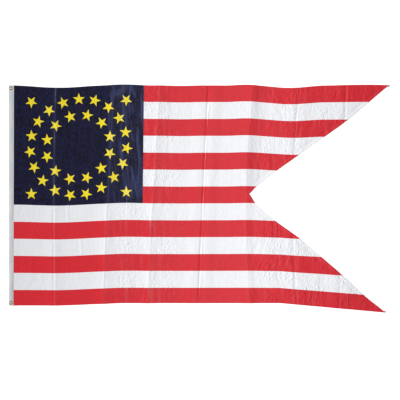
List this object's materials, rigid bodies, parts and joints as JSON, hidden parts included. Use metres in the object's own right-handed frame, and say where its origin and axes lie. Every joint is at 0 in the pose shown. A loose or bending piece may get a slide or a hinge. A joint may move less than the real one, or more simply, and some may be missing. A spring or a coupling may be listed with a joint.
{
  "type": "swallowtail flag",
  "caption": "Swallowtail flag of printed cloth lying flat, with a starred canton, horizontal stripes and a grommeted heading tape along the hoist.",
  "frame": {"origin": "centre of the flag's outline, on the surface that it lies on", "axes": "+X from the hoist edge to the tails, +Y up the hoist, +Z away from the surface"},
  "size_m": [1.524, 0.9134, 0.0057],
  "materials": {
    "printed_cloth": "satin woven polyester, printed",
    "heading_tape": "matt woven canvas tape",
    "grommet_brass": "slightly dulled brass"
  },
  "bodies": {
    "root": {"cloth": "printed_cloth", "heading": "heading_tape", "grommet_top": "grommet_brass", "grommet_bottom": "grommet_brass"}
  },
  "joints": []
}
